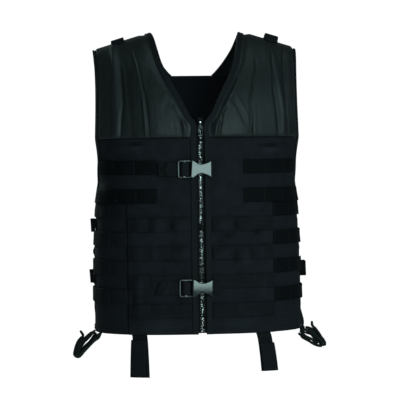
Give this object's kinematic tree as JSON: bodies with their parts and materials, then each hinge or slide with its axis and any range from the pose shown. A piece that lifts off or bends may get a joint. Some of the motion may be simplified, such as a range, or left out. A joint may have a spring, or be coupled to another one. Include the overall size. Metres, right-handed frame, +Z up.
{
  "type": "molle carrier vest",
  "caption": "Sleeveless load-carrying vest in black nylon: zip and buckled front, padded yoke, rows of attachment webbing, laced sides with tied cords.",
  "frame": {"origin": "where the vest rests on the shoulders: mid shoulder, on the centre plane", "axes": "+Z up, the front faces -Y, +X is the wearer's left and the picture's right"},
  "size_m": [0.463, 0.2506, 0.6198],
  "materials": {
    "cordura": "plain woven nylon, matte",
    "satin_nylon": "smooth nylon over foam, soft sheen",
    "webbing": "ribbed nylon webbing, 25.4 mm wide",
    "binding_tape": "folded binding tape",
    "zip_tape": "knitted zip tape",
    "zip_metal": "bright nickel plate",
    "buckle_plastic": "moulded, glossy",
    "braided_cord": "braided nylon"
  },
  "bodies": {
    "vest": {"armhole_binding_left": "binding_tape", "armhole_binding_right": "binding_tape", "back_panel": "cordura", "back_row_1": "webbing", "back_row_2": "webbing", "back_row_3": "webbing", "back_row_4": "webbing", "belt_strap_left": "webbing", "belt_strap_right": "webbing", "bow_end_left": "braided_cord", "bow_end_right": "braided_cord", "bow_loop_left": "braided_cord", "bow_loop_right": "braided_cord", "front_panel_left": "cordura", "front_panel_right": "cordura", "front_row_left_1": "webbing", "front_row_left_2": "webbing", "front_row_left_3": "webbing", "front_row_left_4": "webbing", "front_row_left_5": "webbing", "front_row_left_6": "webbing", "front_row_right_1": "webbing", "front_row_right_2": "webbing", "front_row_right_3": "webbing", "front_row_right_4": "webbing", "front_row_right_5": "webbing", "front_row_right_6": "webbing", "lacing_cord_left": "braided_cord", "lacing_cord_right": "braided_cord", "lacing_tab_left_lower": "webbing", "lacing_tab_left_upper": "webbing", "lower_buckle_body": "buckle_plastic", "lower_buckle_frame": "buckle_plastic", "lower_buckle_strap": "webbing", "lower_buckle_tab": "webbing", "neck_binding_left": "binding_tape", "neck_binding_right": "binding_tape", "shoulder_keeper_left": "webbing", "shoulder_keeper_right": "webbing", "side_panel_left": "cordura", "side_panel_right": "cordura", "side_row_left_1": "webbing", "side_row_left_2": "webbing", "side_row_left_3": "webbing", "side_row_left_4": "webbing", "side_row_right_1": "webbing", "side_row_right_2": "webbing", "side_row_right_3": "webbing", "side_row_right_4": "webbing", "upper_buckle_body": "buckle_plastic", "upper_buckle_frame": "buckle_plastic", "upper_buckle_strap": "webbing", "upper_buckle_tab": "webbing", "yoke_left": "satin_nylon", "yoke_right": "satin_nylon", "zip_chain": "zip_metal", "zip_slider": "zip_metal", "zip_tape_left": "zip_tape", "zip_tape_right": "zip_tape"},
    "pull_tab": {"zip_pull": "zip_metal"}
  },
  "joints": [
    {"name": "zip_pull_swing", "type": "hinge", "parent": "vest", "child": "pull_tab", "pos_m": [0, -0.1254, -0.145], "axis": [-1, 0, 0], "range_deg": [0, 150]}
  ]
}
